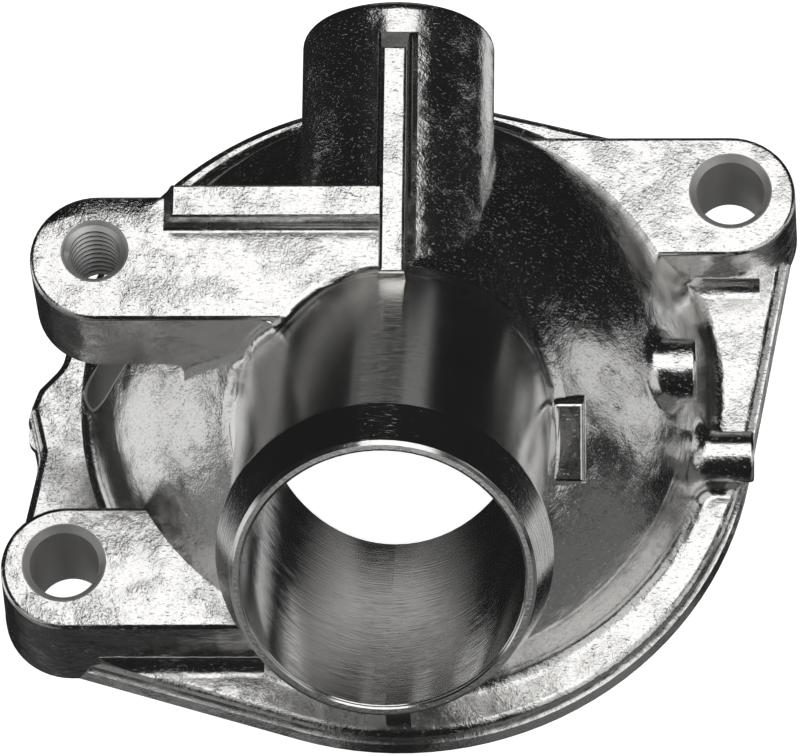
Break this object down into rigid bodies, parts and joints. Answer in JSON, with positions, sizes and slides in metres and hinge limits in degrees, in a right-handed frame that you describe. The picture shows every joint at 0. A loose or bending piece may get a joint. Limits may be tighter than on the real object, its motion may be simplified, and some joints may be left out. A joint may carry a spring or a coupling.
{
  "type": "coolant water outlet",
  "caption": "Die-cast aluminium coolant water outlet: domed flange with two bolt ears, angled hose neck, closed boss and a tapped bracket arm.",
  "frame": {"origin": "middle of the two bolt holes, on the mounting face", "axes": "+Z away from the engine, square to the mounting face; the hose neck leans towards -Y and the closed boss points to +Y"},
  "size_m": [0.0808, 0.0836, 0.0628],
  "materials": {
    "cast_aluminium": "as die-cast, with machined neck, bore and holes"
  },
  "bodies": {
    "root": {"outlet_casting": "cast_aluminium"}
  },
  "joints": []
}
